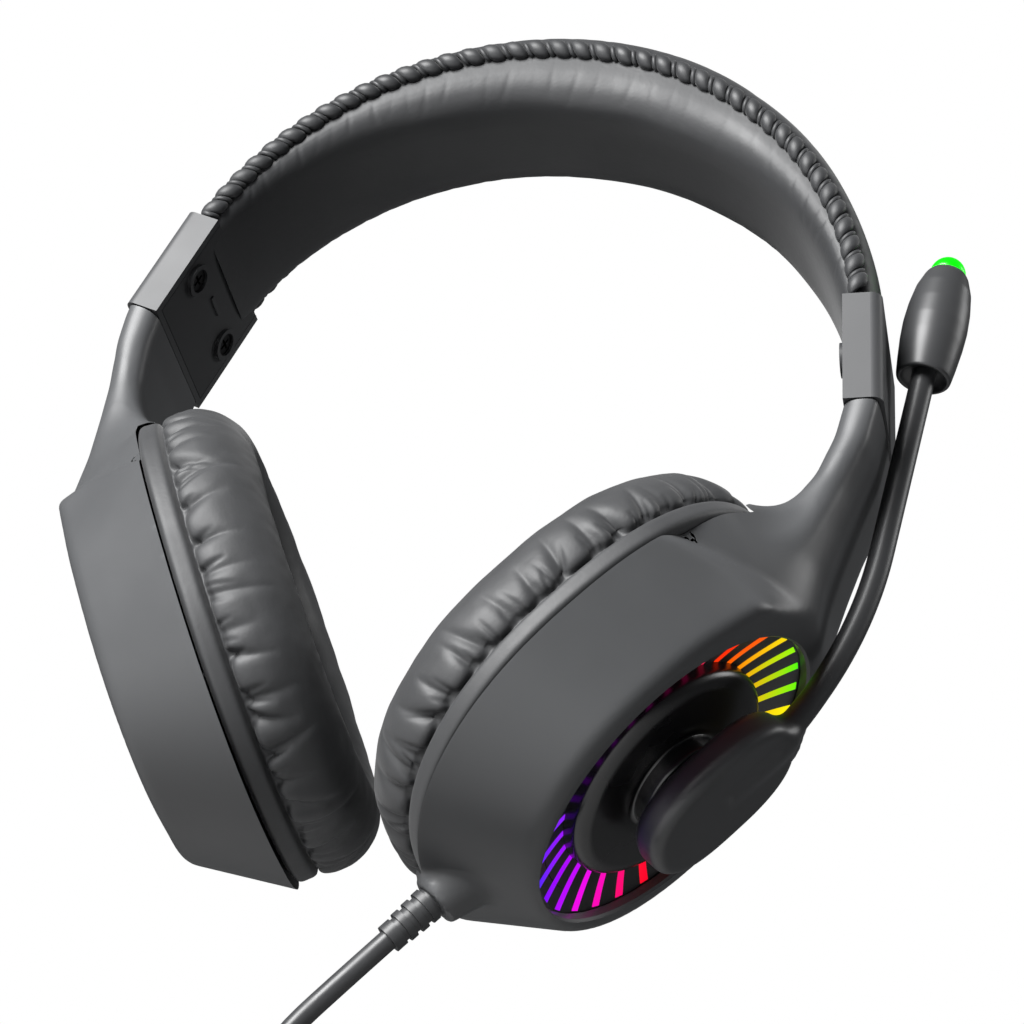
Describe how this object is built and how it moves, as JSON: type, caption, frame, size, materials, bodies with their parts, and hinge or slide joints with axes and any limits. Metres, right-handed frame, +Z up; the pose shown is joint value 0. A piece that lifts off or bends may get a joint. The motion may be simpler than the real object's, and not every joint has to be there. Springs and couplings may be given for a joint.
{
  "type": "gaming headset",
  "caption": "Over-ear headset with padded headband, sliding ear cups, lit hubs, a boom microphone that swings down, and a cord with its plug.",
  "frame": {"origin": "centre of the wearer's head, midway between the ear cups, at the height of the microphone's pivot axis where it crosses the middle of the left cup's rim plane", "axes": "+Z up to the crown, +X to the wearer's left ear, and the wearer faces -Y"},
  "size_m": [0.1747, 0.0904, 0.3446],
  "materials": {
    "shell_plastic": "satin moulded charcoal ABS",
    "cap_plastic": "satin moulded charcoal ABS",
    "plate_plastic": "dark matt plastic",
    "disc_plastic": "dark matt plastic",
    "hub_gloss": "piano black",
    "boom_plastic": "satin",
    "green_tip": "bright translucent green",
    "pad_leatherette": "soft leatherette",
    "band_leatherette": "soft leatherette",
    "lacing": "braided leatherette lace",
    "steel": "plain steel",
    "screw_metal": "black oxide",
    "diffuser": "milky diffuser lit by coloured lights",
    "circuit_board": "solder mask",
    "diaphragm": "thin film",
    "speaker_cloth": "fine mesh",
    "cord_jacket": "smooth PVC jacket",
    "cord_rubber": "moulded soft PVC",
    "tie_plastic": "soft strap",
    "plug_metal": "nickel plated",
    "plug_tongue": "white plastic"
  },
  "bodies": {
    "headband": {"headband_spring": "steel", "headband_top_cover": "band_leatherette", "headband_cushion": "band_leatherette", "lacing_front": "lacing", "lacing_rear": "lacing", "crossover_wire": "cord_jacket", "left_end_cap": "cap_plastic", "left_end_plate": "plate_plastic", "left_end_screws": "screw_metal", "right_end_cap": "cap_plastic", "right_end_plate": "plate_plastic", "right_end_screws": "screw_metal"},
    "left_cup": {"left_cup_shell": "shell_plastic", "left_arm_cover": "plate_plastic", "left_slider": "steel", "left_slider_rivets": "screw_metal", "left_slot_disc": "disc_plastic", "left_light_ring": "diffuser", "left_led_board": "circuit_board", "left_hub": "hub_gloss", "left_ear_pad": "pad_leatherette", "left_baffle": "plate_plastic", "left_baffle_screws": "screw_metal", "left_driver_frame": "plate_plastic", "left_driver_cone": "diaphragm", "left_driver_magnet": "steel", "left_driver_cloth": "speaker_cloth", "audio_board": "circuit_board", "strain_relief": "cord_rubber", "cord_tube": "cord_jacket", "cord_coil": "cord_jacket", "cord_tie": "tie_plastic", "plug_grip": "cord_rubber", "plug_shell": "plug_metal", "plug_tongue": "plug_tongue"},
    "right_cup": {"right_cup_shell": "shell_plastic", "right_arm_cover": "plate_plastic", "right_slider": "steel", "right_slider_rivets": "screw_metal", "right_slot_disc": "disc_plastic", "right_light_ring": "diffuser", "right_led_board": "circuit_board", "right_hub": "hub_gloss", "right_ear_pad": "pad_leatherette", "right_baffle": "plate_plastic", "right_baffle_screws": "screw_metal", "right_driver_frame": "plate_plastic", "right_driver_cone": "diaphragm", "right_driver_magnet": "steel", "right_driver_cloth": "speaker_cloth"},
    "microphone": {"mic_arm": "shell_plastic", "mic_boom": "boom_plastic", "mic_capsule": "shell_plastic", "mic_tip": "green_tip", "mic_element": "steel", "mic_pivot_washer": "steel", "mic_pivot_screw": "screw_metal"}
  },
  "joints": [
    {"name": "left_cup_slide", "type": "slide", "parent": "headband", "child": "left_cup", "axis": [0.2199, 0, -0.9755], "range_m": [0, 0.02]},
    {"name": "right_cup_slide", "type": "slide", "parent": "headband", "child": "right_cup", "axis": [-0.2199, 0, -0.9755], "range_m": [0, 0.02]},
    {"name": "mic_hinge", "type": "hinge", "parent": "left_cup", "child": "microphone", "pos_m": [0.0411, 0, 0], "axis": [0.8434, 0, -0.5373], "range_deg": [0, 120]}
  ]
}
